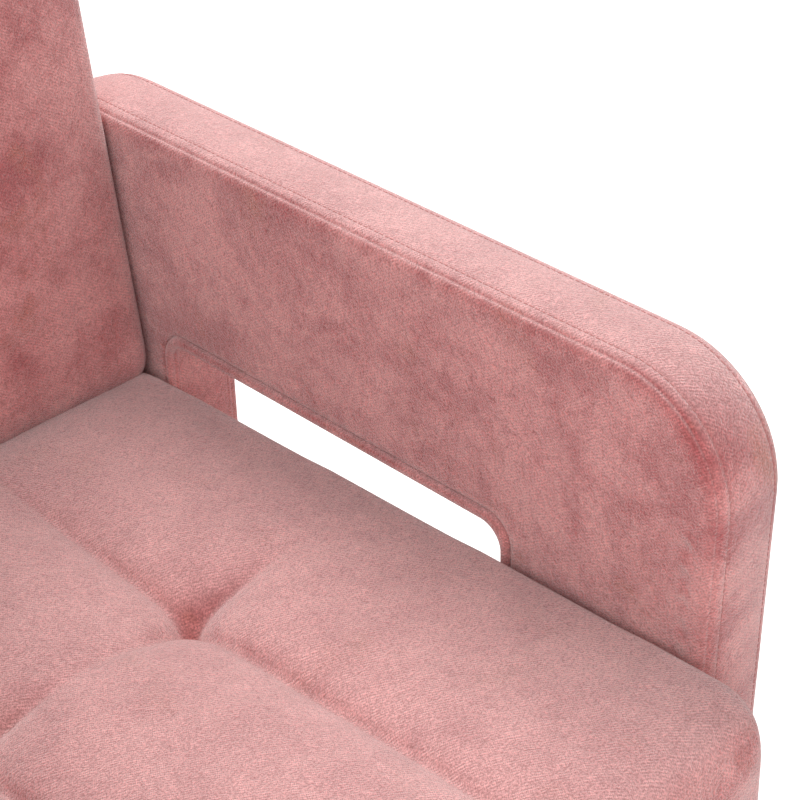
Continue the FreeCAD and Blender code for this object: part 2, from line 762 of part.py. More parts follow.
def lower_pivots():
    """Pins, bushes and clips at the feet of the links; they travel with the chair."""
    pins = []
    bushes = []
    clips = []
    clip_end = link_x - RUN_GAP
    clip_start = clip_end - CLIP_THICKNESS
    for y in pivot_y.values():
        head = rod_x(PIN_HEAD, rail_x, rail_x + PLATE, y, lower_pivot_z)
        shank = rod_x(PIN_RADIUS, clip_start, rail_x, y, lower_pivot_z)
        inner = PIN_RADIUS + BOLT_FIT
        flange = tube_x(BUSH_FLANGE, inner, link_x + PLATE + RUN_GAP, hanger_x, y, lower_pivot_z)
        sleeve = tube_x(BUSH_RADIUS, inner, clip_end, hanger_x, y, lower_pivot_z)
        clip = tube_x(CLIP_RADIUS + PLATE, inner, clip_start, clip_end, y, lower_pivot_z)
        for group, piece in ((pins, join([head, shank])), (bushes, join([flange, sleeve])), (clips, clip)):
            group += [piece, mirror(piece)]
    return {
        "lower_pivot_pins": Part.Compound(pins),
        "lower_bushes": Part.Compound(bushes),
        "lower_clips": Part.Compound(clips),
    }


def rail_bolts():
    bolts = []
    seat_z = side_rail_bottom - PLATE
    for y in rail_bolt_y:
        head = rod_z(BOLT_HEAD, rail_bolt_x, y, seat_z - BOLT_HEAD_HEIGHT, seat_z)
        shank = rod_z(BOLT_RADIUS, rail_bolt_x, y, seat_z, side_rail_bottom + RAIL_BOLT_REACH - OVER)
        bolt = join([head, shank])
        bolts += [bolt, mirror(bolt)]
    return {"rail_bolts": Part.Compound(bolts)}


# ---- assembly -----------------------------------------------------------------------------
def build():
    pieces = {}
    for name, side in sides.items():
        for piece_name, shape in {**arm_frame_pieces(), **arm_soft_pieces()}.items():
            pieces[f"{piece_name}_{name}"] = on_side(shape, side)
    springs, clips = seat_springs()
    pieces["seat_springs"] = Part.Compound(springs)
    pieces["spring_clips"] = Part.Compound(clips)
    for group in (
        arm_bolts,
        seat_frame,
        seat_soft,
        back_pieces,
        floor_base,
        turning_frame,
        upper_pivots,
        links,
        hangers_and_rails,
        lower_pivots,
        rail_bolts,
    ):
        pieces.update(group())
    return pieces


os.makedirs("parts", exist_ok=True)
chair = build()
for node_name, node_shape in chair.items():
    node_shape.exportStep(f"parts/{node_name}.step")

whole = Part.Compound(list(chair.values())).optimalBoundingBox(False)
print(len(chair), "nodes; X", round(whole.XMin, 2), round(whole.XMax, 2), "Y", round(whole.YMin, 2),
      round(whole.YMax, 2), "Z", round(whole.ZMin, 2), round(whole.ZMax, 2))
print("base_y", round(base_y, 3), "slot_rear_y", round(slot_rear_y, 3), "link_x", link_x,
      "front pivot", round(pivot_y["front"], 3), "rear pivot", round(pivot_y["rear"], 3),
      "lower pivot z", lower_pivot_z)
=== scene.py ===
"""Swivel glider nursery chair: upholstery, finishes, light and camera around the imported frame."""

import json
import math

import bmesh
import bpy
import numpy as np
from mathutils import Matrix, Vector, noise
from mathutils.geometry import delaunay_2d_cdt


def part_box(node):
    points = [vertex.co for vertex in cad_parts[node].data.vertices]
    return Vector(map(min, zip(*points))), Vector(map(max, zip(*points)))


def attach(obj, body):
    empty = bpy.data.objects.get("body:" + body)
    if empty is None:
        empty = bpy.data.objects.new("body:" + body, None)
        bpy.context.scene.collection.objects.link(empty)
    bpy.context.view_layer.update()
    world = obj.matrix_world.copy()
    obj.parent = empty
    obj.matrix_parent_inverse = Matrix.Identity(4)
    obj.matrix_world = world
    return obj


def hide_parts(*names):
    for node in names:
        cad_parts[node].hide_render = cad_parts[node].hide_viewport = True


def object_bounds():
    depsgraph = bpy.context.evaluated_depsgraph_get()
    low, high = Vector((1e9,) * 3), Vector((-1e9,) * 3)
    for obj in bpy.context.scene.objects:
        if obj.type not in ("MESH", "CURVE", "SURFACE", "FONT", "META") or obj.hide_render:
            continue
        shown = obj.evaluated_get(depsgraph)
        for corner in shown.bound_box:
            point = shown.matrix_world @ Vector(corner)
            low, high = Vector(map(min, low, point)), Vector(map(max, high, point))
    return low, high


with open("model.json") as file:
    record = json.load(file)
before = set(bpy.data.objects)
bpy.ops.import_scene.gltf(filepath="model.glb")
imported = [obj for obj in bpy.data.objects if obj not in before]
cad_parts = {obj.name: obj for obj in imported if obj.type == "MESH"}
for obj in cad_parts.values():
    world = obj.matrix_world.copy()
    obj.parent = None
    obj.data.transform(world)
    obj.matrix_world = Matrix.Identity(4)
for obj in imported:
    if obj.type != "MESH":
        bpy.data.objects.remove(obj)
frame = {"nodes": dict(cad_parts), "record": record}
cad_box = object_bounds()
MM = 0.001

# ---- places, all from the frame -----------------------------------------------------------
arm_lo, arm_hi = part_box("arm_inner_pad_left")
arm_in = arm_lo.x
arm_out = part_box("arm_outer_pad_left")[1].x
arm_thickness = arm_out - arm_in
slot_lo, slot_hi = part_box("slot_facing_left")
seat_lo, seat_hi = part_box("seat_cushion")
shell_lo, shell_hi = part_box("outer_back")
rail_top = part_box("seat_rail_rear")[1].z
border_lo, border_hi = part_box("front_border")

ARM_RAKE = math.radians(1.6)
ARM_FRONT_FROM_SLOT = 502 * MM
ARM_FRONT_RADIUS = 79 * MM
ARM_REAR_RADIUS = 108 * MM
ARM_FOOT_RADIUS = 10 * MM
SLOT_RADIUS = 20 * MM
SLOT_TOP_DROP = 2.8 * MM             # the seam runs this far below the wooden slot's edge
REAR_LINING = 0.6                    # the lining's pad is thinner on the slot's rear wall
FRONT_LINING = 0.85
SLOT_FLARE = 5 * MM                  # the slot is this much longer, at its rear, on the arm's outer face

BACK_LEAN = math.radians(7.6)
BACK_FOOT_BEHIND_SLOT = 17 * MM
BACK_PROUD = 13 * MM                  # the swollen cushion's face lies this far before that line
SEAT_PITCH = math.tan(math.radians(2.07))
SEAT_EDGE_AT_SLOT_REAR = 455 * MM

PULL_X = 86 * MM                     # seat pulls, each side of the middle
PULL_FROM_SLOT = 230 * MM            # in front of the slot's rear edge
pull_y = slot_hi.y - PULL_FROM_SLOT


# ---- small tools --------------------------------------------------------------------------
def add_piece(name, vertices, faces, material, smooth=True):
    mesh = bpy.data.meshes.new(name)
    mesh.from_pydata([tuple(v) for v in vertices], [], faces)
    mesh.update()
    mesh.polygons.foreach_set("use_smooth", [smooth] * len(mesh.polygons))
    piece = bpy.data.objects.new(name, mesh)
    bpy.context.scene.collection.objects.link(piece)
    mesh.materials.append(material)
    return piece


def merge_doubles(piece, distance=1e-6):
    shape = bmesh.new()
    shape.from_mesh(piece.data)
    bmesh.ops.remove_doubles(shape, verts=shape.verts, dist=distance)
    bmesh.ops.recalc_face_normals(shape, faces=shape.faces)
    shape.to_mesh(piece.data)
    shape.free()


def points_of(piece):
    flat = np.empty(len(piece.data.vertices) * 3)
    piece.data.vertices.foreach_get("co", flat)
    return flat.reshape(-1, 3)


def set_points(piece, points):
    piece.data.vertices.foreach_set("co", np.ascontiguousarray(points).ravel())
    piece.data.update()


def evaluated_copy(piece):
    """Replaces the piece's mesh with what its modifiers give, and drops the modifiers."""
    graph = bpy.context.evaluated_depsgraph_get()
    mesh = bpy.data.meshes.new_from_object(piece.evaluated_get(graph))
    piece.modifiers.clear()
    old = piece.data
    piece.data = mesh
    bpy.data.meshes.remove(old)
    piece.data.polygons.foreach_set("use_smooth", [True] * len(mesh.polygons))


def remesh(piece, voxel):
    modifier = piece.modifiers.new("Remesh", "REMESH")
    modifier.mode = "VOXEL"
    modifier.voxel_size = voxel
    evaluated_copy(piece)


def subdivide(piece, levels=1):
    modifier = piece.modifiers.new("Subdivision", "SUBSURF")
    modifier.levels = levels
    modifier.render_levels = levels
    evaluated_copy(piece)


def relax(piece, factor, repeats):
    modifier = piece.modifiers.new("Smooth", "SMOOTH")
    modifier.factor = factor
    modifier.iterations = repeats
    evaluated_copy(piece)


def smoothstep(edge0, edge1, value):
    t = np.clip((value - edge0) / (edge1 - edge0), 0, 1)
    return t * t * (3 - 2 * t)


def ripple(points, scale, seed):
    """Smooth noise from -1 to 1 at each point."""
    shift = Vector((seed * 3.7, seed * 1.9, seed * 2.3))
    return np.array([noise.noise(Vector(p) * scale + shift) for p in points])


def mirrored(points, side):
    return [(side * x, y, z) for x, y, z in points]


def oriented(faces, side):
    return faces if side > 0 else [tuple(reversed(face)) for face in faces]


# ---- fabric simulation --------------------------------------------------------------------
SIM_FRAMES = 20
CUSHION_PRESSURE = 5.0
VOXEL = 5 * MM
SIDE_STEP = 8 * MM                   # squares of a cushion before it is remeshed


def inflate(piece, free, cap, pressure):
    """Lets air pressure fill the cover: free is 0 where the fabric is held and 1 where it swells."""
    start = points_of(piece)
    group = piece.vertex_groups.new(name="held")
    for index, hold in enumerate(1 - free):
        if hold > 0.02:
            group.add([index], float(hold), "REPLACE")
    cloth = piece.modifiers.new("Cloth", "CLOTH")
    cloth.settings.quality = 6
    cloth.settings.mass = 0.3
    cloth.settings.tension_stiffness = 20
    cloth.settings.compression_stiffness = 20
    cloth.settings.shear_stiffness = 8
    cloth.settings.bending_stiffness = 1.5
    cloth.settings.use_pressure = True
    cloth.settings.uniform_pressure_force = pressure
    cloth.settings.vertex_group_mass = "held"
    cloth.settings.effector_weights.gravity = 0
    cloth.point_cache.frame_start = 1
    cloth.point_cache.frame_end = SIM_FRAMES
    scene = bpy.context.scene
    for step in range(1, SIM_FRAMES + 1):
        scene.frame_set(step)
    evaluated_copy(piece)
    scene.frame_set(1)
    piece.vertex_groups.clear()
    moved = points_of(piece) - start
    length = np.linalg.norm(moved, axis=1)
    limit = np.minimum(1, cap / np.maximum(length, 1e-9))
    set_points(piece, start + moved * limit[:, None])


# ---- materials ----------------------------------------------------------------------------
class Graph:
    """A material's node tree, built by short calls."""

    def __init__(self, name):
        self.material = bpy.data.materials.new(name)
        self.material.use_nodes = True
        self.tree = self.material.node_tree
        self.shader = self.tree.nodes["Principled BSDF"]

    def node(self, kind, inputs=None, **settings):
        made = self.tree.nodes.new(kind)
        for key, value in settings.items():
            setattr(made, key, value)
        for key, value in (inputs or {}).items():
            self.put(made.inputs[key], value)
        return made

    def put(self, socket, value):
        if isinstance(value, bpy.types.NodeSocket):
            self.tree.links.new(value, socket)
        else:
            socket.default_value = value

    def math(self, operation, a, b=0.0, c=0.0, clamp=False):
        made = self.node("ShaderNodeMath", operation=operation, use_clamp=clamp)
        for socket, value in zip(made.inputs, (a, b, c)):
            self.put(socket, value)
        return made.outputs[0]

    def dot(self, vector, direction):
        made = self.node("ShaderNodeVectorMath", operation="DOT_PRODUCT")
        self.put(made.inputs[0], vector)
        self.put(made.inputs[1], direction)
        return made.outputs["Value"]

    def noise(self, vector, scale, detail=2.0, roughness=0.5, distortion=0.0):
        made = self.node(
            "ShaderNodeTexNoise",
            {
                "Vector": vector,
                "Scale": scale,
                "Detail": detail,
                "Roughness": roughness,
                "Distortion": distortion,
            },
        )
        return made.outputs["Fac"]

    def ramp(self, value, low, high):
        made = self.node("ShaderNodeMapRange", {"Value": value, "From Min": low, "From Max": high})
        made.interpolation_type = "SMOOTHSTEP"
        return made.outputs["Result"]

    def mix(self, factor, a, b, blend="MIX"):
        made = self.node("ShaderNodeMix", data_type="RGBA", blend_type=blend)
        self.put(made.inputs[0], factor)
        self.put(made.inputs[6], a)
        self.put(made.inputs[7], b)
        return made.outputs[2]

    def bump(self, height, strength, distance, under=None):
        made = self.node("ShaderNodeBump", {"Height": height, "Strength": strength, "Distance": distance})
        if under is not None:
            self.put(made.inputs["Normal"], under)
        return made.outputs["Normal"]

    def coordinates(self):
        return self.node("ShaderNodeTexCoord").outputs["Object"]

    def set(self, **values):
        for key, value in values.items():
            self.put(self.shader.inputs[key.replace("_", " ")], value)
        return self.material


def rgb(red, green, blue):
    return (red, green, blue, 1.0)


def twill(graph, place, across, along):
    """Height of a fine diagonal twill in the plane of two directions, from about -1 to 1."""
    rib_pitch = 1.9 * MM
    yarn_pitch = 1.15 * MM
    diagonal = Vector(across) * 0.55 + Vector(along) * 0.83
    yarn = Vector(across) * 0.83 - Vector(along) * 0.55
    rib = graph.math("SINE", graph.dot(place, diagonal * (2 * math.pi / rib_pitch)))
    cross = graph.math("SINE", graph.dot(place, yarn * (2 * math.pi / yarn_pitch)))
    return graph.math("MULTIPLY_ADD", cross, 0.45, graph.math("MULTIPLY", rib, 0.55))


def woven_height(graph, place):
    """The twill laid on whichever plane the surface faces."""
    normal = graph.node("ShaderNodeTexCoord").outputs["Normal"]
    split = graph.node("ShaderNodeSeparateXYZ", {"Vector": normal})
    planes = (((0, 1, 0), (0, 0, 1)), ((1, 0, 0), (0, 0, 1)), ((1, 0, 0), (0, 1, 0)))
    total = None
    weight_sum = None
    for axis, (across, along) in enumerate(planes):
        size = graph.math("ABSOLUTE", split.outputs[axis])
        weight = graph.math("POWER", size, 6.0)
        part = graph.math("MULTIPLY", weight, twill(graph, place, across, along))
        total = part if total is None else graph.math("ADD", total, part)
        weight_sum = weight if weight_sum is None else graph.math("ADD", weight_sum, weight)
    return graph.math("DIVIDE", total, weight_sum)


def chenille(name, light, dark, warm, top_light_pink):
    """Brushed chenille: a fine twill under a short pile that is crushed in cloudy patches, with a painted
    highlight that makes faces looking upward paler.
    """
    graph = Graph(name)
    place = graph.coordinates()
    drift = graph.node("ShaderNodeTexNoise", {"Vector": place, "Scale": 38.0, "Detail": 1.0})
    wander = graph.node("ShaderNodeVectorMath", operation="MULTIPLY_ADD")
    graph.put(wander.inputs[0], drift.outputs["Color"])
    graph.put(wander.inputs[1], (0.004, 0.004, 0.004))
    graph.put(wander.inputs[2], place)
    bent = wander.outputs["Vector"]
    weave = woven_height(graph, bent)
    fibre = graph.noise(bent, 760.0, 3.0, 0.7)
    clump = graph.noise(bent, 210.0, 2.0, 0.6)
    cloud = graph.noise(place, 15.0, 3.0, 0.55, 0.3)
    fleck = graph.noise(place, 60.0, 5.0, 0.7, 0.4)
    cloudy = graph.math("MULTIPLY_ADD", fleck, 0.45, graph.math("MULTIPLY", cloud, 0.75))
    crushed = graph.ramp(cloudy, 0.46, 0.78)
    warm_patch = graph.ramp(graph.noise(place, 21.0, 3.0, 0.55, 0.4), 0.56, 0.72)
    tuft = graph.ramp(fibre, 0.36, 0.66)
    broken = graph.math("MULTIPLY", weave, graph.ramp(clump, 0.3, 0.75))
    pile = graph.math("MULTIPLY_ADD", clump, 0.5, graph.math("MULTIPLY", tuft, 0.55))
    speck = graph.math("MULTIPLY_ADD", broken, 0.42, pile)
    colour = graph.mix(graph.math("MULTIPLY", crushed, 0.95), light, dark)
    warmth = graph.math("MULTIPLY", warm_patch, graph.math("MULTIPLY", crushed, 0.8))
    colour = graph.mix(warmth, colour, warm)
    # painted highlight: faces that look upward are mixed towards a paler pink, painting in the brighter
    # light and sheen that top faces catch
    normal_way = graph.node("ShaderNodeTexCoord").outputs["Normal"]
    facing = graph.node("ShaderNodeSeparateXYZ", {"Vector": normal_way})
    painted_top_light = graph.math("MULTIPLY", graph.ramp(facing.outputs[2], 0.35, 0.95), 0.6)
    colour = graph.mix(painted_top_light, colour, top_light_pink)
    span = {"From Min": 0.15, "From Max": 0.95, "To Min": 0.62, "To Max": 1.36}
    shade = graph.node("ShaderNodeMapRange", {"Value": speck, **span}).outputs[0]
    grey = graph.node("ShaderNodeCombineColor", {"Red": shade, "Green": shade, "Blue": shade})
    colour = graph.mix(1.0, colour, grey.outputs[0], "MULTIPLY")
    height = graph.math("MULTIPLY_ADD", broken, 0.3, graph.math("MULTIPLY_ADD", tuft, 0.4, clump))
    normal = graph.bump(height, 0.8, 1.2 * MM)
    graph.set(Base_Color=colour, Roughness=0.9, Normal=normal)
    graph.set(Specular_IOR_Level=0.12, Sheen_Weight=0.9, Sheen_Roughness=0.4)
    graph.set(Sheen_Tint=rgb(1.0, 0.93, 0.92))
    return graph.material


def thread(name, colour):
    """Sewing thread with a fine twist."""
    graph = Graph(name)
    place = graph.coordinates()
    twist = graph.noise(place, 900.0, 2.0)
    tone = graph.mix(twist, colour, rgb(*[c * 0.7 for c in colour[:3]]))
    return graph.set(Base_Color=tone, Roughness=0.75, Normal=graph.bump(twist, 0.3, 0.2 * MM))


def wood(name, light, dark):
    """Sawn hardwood with long grain and pores."""
    graph = Graph(name)
    place = graph.coordinates()
    stretch = graph.node("ShaderNodeMapping", {"Vector": place, "Scale": (1.0, 0.12, 1.0)})
    grain = graph.noise(stretch.outputs[0], 90.0, 6.0, 0.6, 1.5)
    pores = graph.noise(stretch.outputs[0], 600.0, 2.0)
    tone = graph.mix(graph.ramp(grain, 0.35, 0.7), light, dark)
    normal = graph.bump(graph.math("MULTIPLY_ADD", pores, 0.5, grain), 0.25, 0.3 * MM)
    return graph.set(Base_Color=tone, Roughness=graph.math("MULTIPLY_ADD", pores, 0.25, 0.5), Normal=normal)


def metal(name, colour, metallic, roughness, texture):
    """Painted or plated steel: an orange-peel coat over fine scratches."""
    graph = Graph(name)
    place = graph.coordinates()
    peel = graph.noise(place, texture, 2.0)
    wear = graph.noise(place, 35.0, 5.0, 0.6)
    tone = graph.mix(graph.ramp(wear, 0.45, 0.8), colour, rgb(*[c * 1.35 for c in colour[:3]]))
    rough = graph.math("MULTIPLY_ADD", wear, 0.18, roughness - 0.08)
    graph.set(Base_Color=tone, Roughness=rough, Normal=graph.bump(peel, 0.25, 0.12 * MM))
    return graph.set(Metallic=metallic)


def moulded(name, colour, roughness):
    """Moulded plastic or rubber with a fine spark-eroded grain."""
    graph = Graph(name)
    place = graph.coordinates()
    grain = graph.noise(place, 1400.0, 2.0)
    blush = graph.noise(place, 60.0, 3.0)
    tone = graph.mix(blush, colour, rgb(*[c * 1.25 + 0.004 for c in colour[:3]]))
    rough = graph.math("MULTIPLY_ADD", grain, 0.15, roughness)
    return graph.set(Base_Color=tone, Roughness=rough, Normal=graph.bump(grain, 0.2, 0.1 * MM))


def woven(name, colour, pitch):
    """Plain woven cloth or strap: over-and-under yarns with slight colour variation."""
    graph = Graph(name)
    place = graph.coordinates()
    turn = 2 * math.pi / pitch
    over = graph.math("SINE", graph.dot(place, (turn, 0, turn * 0.4)))
    under = graph.math("SINE", graph.dot(place, (0, turn, turn)))
    height = graph.math("MULTIPLY", over, under)
    fuzz = graph.noise(place, 300.0, 3.0)
    tone = graph.mix(graph.math("MULTIPLY_ADD", height, 0.2, fuzz, clamp=True), colour,
                     rgb(*[c * 0.6 for c in colour[:3]]))
    return graph.set(Base_Color=tone, Roughness=0.92, Normal=graph.bump(height, 0.4, 0.3 * MM))


PINK = rgb(0.64, 0.255, 0.245)
ROSE = rgb(0.40, 0.095, 0.098)
TERRACOTTA = rgb(0.47, 0.15, 0.11)
PAINTED_TOP_PINK = rgb(0.56, 0.32, 0.315)         # painted highlight: paler pink mixed onto faces that look upward, standing in for the light and sheen on top faces
fabric = chenille("chenille_pink", PINK, ROSE, TERRACOTTA, PAINTED_TOP_PINK)
stitch_thread = thread("thread_rose", rgb(0.50, 0.20, 0.19))

finishes = {
    "upholstery": fabric,
    "wood": wood("rubberwood", rgb(0.52, 0.34, 0.18), rgb(0.36, 0.21, 0.10)),
    "black_steel": metal("black_powder_coat", rgb(0.018, 0.018, 0.019), 0.0, 0.42, 700.0),
    "steel": metal("grey_steel", rgb(0.09, 0.09, 0.095), 0.6, 0.45, 500.0),
    "zinc": metal("zinc_plate", rgb(0.55, 0.56, 0.56), 1.0, 0.32, 900.0),
    "nylon": moulded("nylon_natural", rgb(0.72, 0.70, 0.64), 0.4),
    "glide_plastic": moulded("glide_black", rgb(0.02, 0.02, 0.02), 0.45),
    "rubber": moulded("bumper_rubber", rgb(0.025, 0.025, 0.025), 0.6),
    "black_cambric": woven("black_cambric", rgb(0.02, 0.02, 0.021), 0.9 * MM),
    "webbing": woven("jute_webbing", rgb(0.45, 0.34, 0.2), 2.5 * MM),
    "padding": woven("deck_felt", rgb(0.62, 0.6, 0.55), 1.6 * MM),
}


def paint_cad_nodes():
    for part in frame["record"]["subparts"]:
        node = frame["nodes"][part["node"]]
        node.data.materials.clear()
        node.data.materials.append(finishes[part["material_slot"]])


# ---- outlines -----------------------------------------------------------------------------
ARC_POINTS = 16


def loop(corners, line_counts):
    """Closed outline through (u, v, radius) corners, with a fixed number of points."""
    points = []
    count = len(corners)
    arcs = []
    for i, (u, v, radius) in enumerate(corners):
        here = np.array((u, v))
        back = np.array(corners[i - 1][:2]) - here
        ahead = np.array(corners[(i + 1) % count][:2]) - here
        back = back / np.linalg.norm(back)
        ahead = ahead / np.linalg.norm(ahead)
        half = math.acos(float(np.clip(back @ ahead, -1, 1))) / 2
        reach = radius / math.tan(half)
        middle = (back + ahead) / np.linalg.norm(back + ahead)
        centre = here + middle * (radius / math.sin(half))
        first = here + back * reach - centre
        last = here + ahead * reach - centre
        angle0 = math.atan2(first[1], first[0])
        sweep = (math.atan2(last[1], last[0]) - angle0 + math.pi) % (2 * math.pi) - math.pi
        arc = []
        for k in range(ARC_POINTS + 1):
            angle = angle0 + sweep * k / ARC_POINTS
            arc.append(centre + radius * np.array((math.cos(angle), math.sin(angle))))
        arcs.append(arc)
    for i in range(count):
        points += arcs[i]
        start = arcs[i][-1]
        end = arcs[(i + 1) % count][0]
        for k in range(1, line_counts[i]):
            points.append(start + (end - start) * k / line_counts[i])
    return np.array(points)


def inset_polygon(corners, inset):
    """Moves each side of a convex polygon inward, and shrinks the corner radii with it."""
    count = len(corners)
    centre = np.mean([c[:2] for c in corners], axis=0)
    lines = []
    for i in range(count):
        a = np.array(corners[i][:2])
        b = np.array(corners[(i + 1) % count][:2])
        run = (b - a) / np.linalg.norm(b - a)
        normal = np.array((-run[1], run[0]))
        if normal @ (centre - a) < 0:
            normal = -normal
        lines.append((a + normal * inset, run))
    moved = []
    for i in range(count):
        (p, r), (q, s) = lines[i - 1], lines[i]
        t = np.linalg.solve(np.array((r, -s)).T, q - p)[0]
        meet = p + r * t
        moved.append((meet[0], meet[1], max(corners[i][2] - inset, 1 * MM)))
    return moved


def inside(points, polygon):
    """True for each point that lies in the polygon."""
    x, y = points[:, 0], points[:, 1]
    result = np.zeros(len(points), bool)
    for (x0, y0), (x1, y1) in zip(polygon, np.roll(polygon, -1, axis=0)):
        crosses = (y0 > y) != (y1 > y)
        with np.errstate(divide="ignore", invalid="ignore"):
            reach = (x1 - x0) * (y - y0) / (y1 - y0) + x0
        result ^= crosses & (x < reach)
    return result


def distance_to(points, polygon):
    closest = np.full(len(points), 1e9)
    for a, b in zip(polygon, np.roll(polygon, -1, axis=0)):
        run = b - a
        length = run @ run
        if length < 1e-14:
            continue
        t = np.clip(((points - a) @ run) / length, 0, 1)
        gap = np.linalg.norm(points - (a + t[:, None] * run), axis=1)
        closest = np.minimum(closest, gap)
    return closest


def fill(outer, hole, step):
    """Triangles between an outer loop and a hole, with an even scatter of points inside."""
    low = outer.min(0)
    high = outer.max(0)
    us = np.arange(low[0] + step / 2, high[0], step)
    rows = np.arange(low[1] + step / 2, high[1], step * 0.87)
    grid = np.array([(u + (step / 2 if j % 2 else 0), v) for j, v in enumerate(rows) for u in us])
    keep = inside(grid, outer) & (distance_to(grid, outer) > step * 0.6)
    if hole is not None:
        keep &= ~inside(grid, hole) & (distance_to(grid, hole) > step * 0.6)
    grid = grid[keep]
    loops = [outer] if hole is None else [outer, hole]
    points = np.vstack(loops + [grid])
    edges = []
    start = 0
    for ring in loops:
        edges += [(start + i, start + (i + 1) % len(ring)) for i in range(len(ring))]
        start += len(ring)
    result = delaunay_2d_cdt([Vector(p) for p in points], edges, [], 0, 1e-7)
    found = np.array([tuple(p) for p in result[0]])
    triangles = np.array(result[2])
    centres = found[triangles].mean(1)
    wanted = inside(centres, outer)
    if hole is not None:
        wanted &= ~inside(centres, hole)
    return found, triangles[wanted]


def rings(loops):
    """Quads between loops that have the same number of points each."""
    count = len(loops[0])
    faces = []
    for j in range(len(loops) - 1):
        for i in range(count):
            k = (i + 1) % count
            faces.append((j * count + i, j * count + k, (j + 1) * count + k, (j + 1) * count + i))
    return faces


# ---- arms ---------------------------------------------------------------------------------
# section through the arm's edge: x from the arm's face, d inward from the arm's outline
PANEL_EDGE = [(0.0, 20), (0.0, 15.5), (0.15, 12), (0.6, 9), (1.5, 6.4), (2.6, 4.7), (3.5, 4.1), (4.2, 4.3)]
BAND_EDGE = [(4.7, 3.4), (5.4, 2.3), (6.8, 1.3), (8.6, 0.6), (10.2, 0.25), (11.0, 0.65), (11.8, 0.05)]
BAND_TOP = [(14.0, -0.45), (18.0, -1.05), (24.0, -1.6), (31.0, -1.8)]
STITCH_X = 11.0
HOLE_EDGE = [(0.0, -12), (0.05, -8), (0.3, -5), (0.9, -2.6), (1.9, -1.1), (3.0, -0.4)]
# section of the strip that lines the slot: x from the face, inset from the seam, corner radius
WELTS = [
    (3.6, -0.4, 20), (1.4, 0.2, 20), (-0.1, 1.0, 19.5), (-1.2, 2.6, 19), (-1.3, 4.6, 18.5), (-0.7, 6.6, 18),
    (0.5, 8.0, 17.5), (2.0, 8.5, 17), (3.4, 8.6, 17), (4.3, 8.1, 17), (4.9, 8.3, 17), (5.4, 9.3, 16.5),
    (6.6, 10.0, 16), (8.0, 10.0, 16), (8.8, 9.6, 16), (9.5, 9.9, 16),
]
TUNNEL = [(12.0, 10.5, 16), (20.0, 10.6, 16), (31.0, 10.5, 16)]


def arm_corners(inset):
    front = slot_hi.y - ARM_FRONT_FROM_SLOT
    foot = front + (arm_hi.z - arm_lo.z) * math.tan(ARM_RAKE)
    outline = [
        (foot, arm_lo.z, ARM_FOOT_RADIUS),
        (arm_hi.y, arm_lo.z, ARM_FOOT_RADIUS),
        (arm_hi.y, arm_hi.z, ARM_REAR_RADIUS),
        (front, arm_hi.z, ARM_FRONT_RADIUS),
    ]
    return inset_polygon(outline, inset)


def slot_corners(inset, radius, depth):
    front = slot_lo.y + inset * FRONT_LINING
    rear = slot_hi.y - inset * REAR_LINING + SLOT_FLARE * depth / arm_thickness
    bottom = slot_lo.z + inset
    top = slot_hi.z - SLOT_TOP_DROP - inset
    return [(front, bottom, radius), (rear, bottom, radius), (rear, top, radius), (front, top, radius)]


ARM_LINES = (90, 62, 68, 60)
SLOT_LINES = (44, 14, 44, 14)


def arm_loop(inset):
    return loop(arm_corners(inset), ARM_LINES)


def slot_loop(inset, radius, depth):
    return loop(slot_corners(inset, radius, depth), SLOT_LINES)


def across(section):
    """A section and its mirror image about the arm's middle."""
    whole = arm_thickness / MM
    return section + [(whole - row[0],) + tuple(row[1:]) for row in reversed(section[:-1])]


def panel(x, outward, seed):
    """One side panel with its slot: a smooth pad with the faintest unevenness of hand-laid foam."""
    outer = arm_loop(PANEL_EDGE[0][1] * MM)
    hole = slot_loop(HOLE_EDGE[0][1] * MM, SLOT_RADIUS - HOLE_EDGE[0][1] * MM, x - arm_in)
    flat, triangles = fill(outer, hole, 6.5 * MM)
    edge = np.minimum(distance_to(flat, outer), distance_to(flat, hole))
    swell = smoothstep(0, 45 * MM, edge)
    points = [(x, y, z) for y, z in flat]
    uneven = ripple(points, 11.0, seed) * 0.5 * MM + ripple(points, 30.0, seed + 5) * 0.2 * MM
    depth = x + outward * (0.8 * MM + uneven) * swell
    return np.column_stack((depth, flat)), triangles


